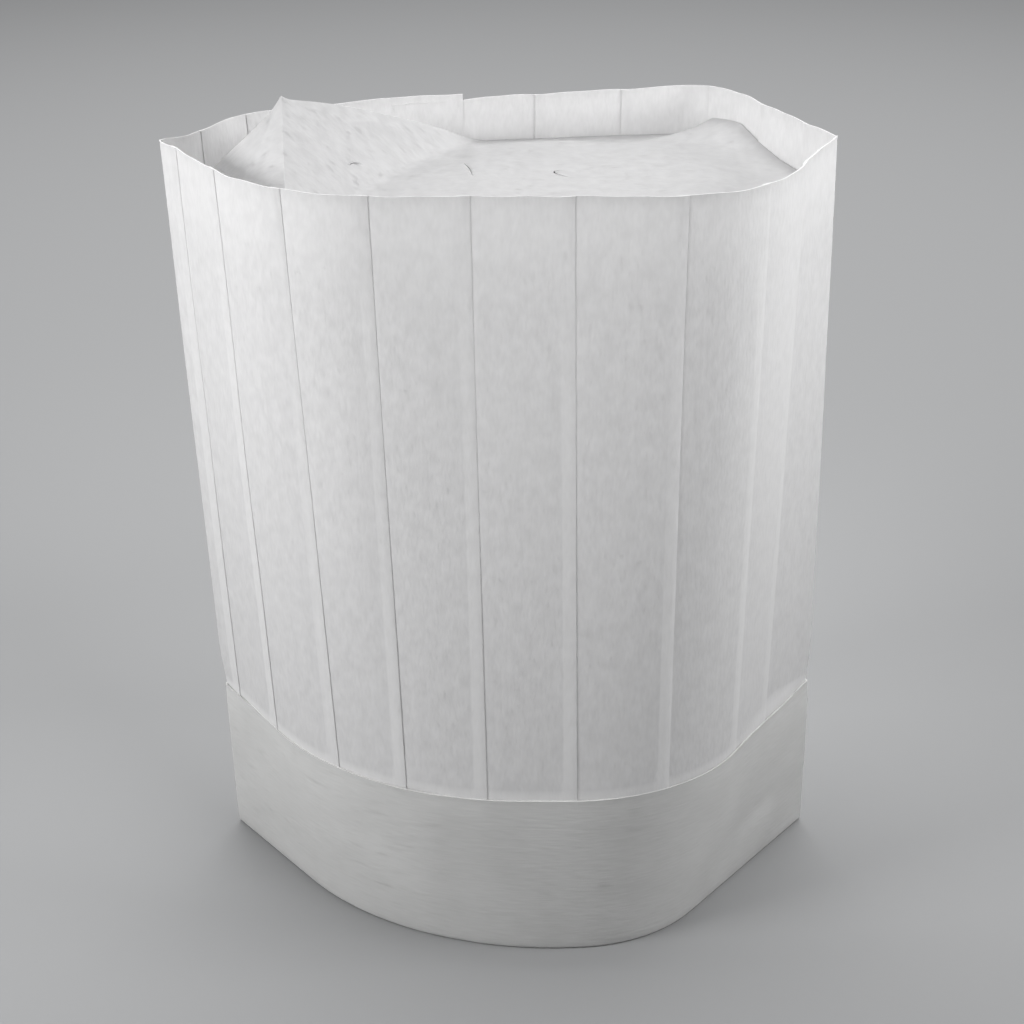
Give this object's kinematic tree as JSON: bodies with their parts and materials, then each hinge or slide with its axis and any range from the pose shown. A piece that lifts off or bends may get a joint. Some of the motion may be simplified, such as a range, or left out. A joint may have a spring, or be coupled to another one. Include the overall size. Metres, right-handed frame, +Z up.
{
  "type": "disposable chef hat",
  "caption": "Tall disposable chef hat with a pleated nonwoven crown, a plain folded headband and a flat vented top panel set just below the rim.",
  "frame": {"origin": "on the floor below the middle of the hat's box", "axes": "+Z up, -Y is the front of the hat as pictured, +X to the right in the picture"},
  "size_m": [0.215, 0.1718, 0.2684],
  "materials": {
    "band_strip": "heavier folded nonwoven strip, matte, with fine streaks along it",
    "crown_sheet": "thin translucent nonwoven sheet, matte, with fine fibres",
    "top_sheet": "thin translucent nonwoven sheet, matte, lightly wrinkled"
  },
  "bodies": {
    "root": {"headband": "band_strip", "crown": "crown_sheet", "top_panel": "top_sheet"}
  },
  "joints": []
}
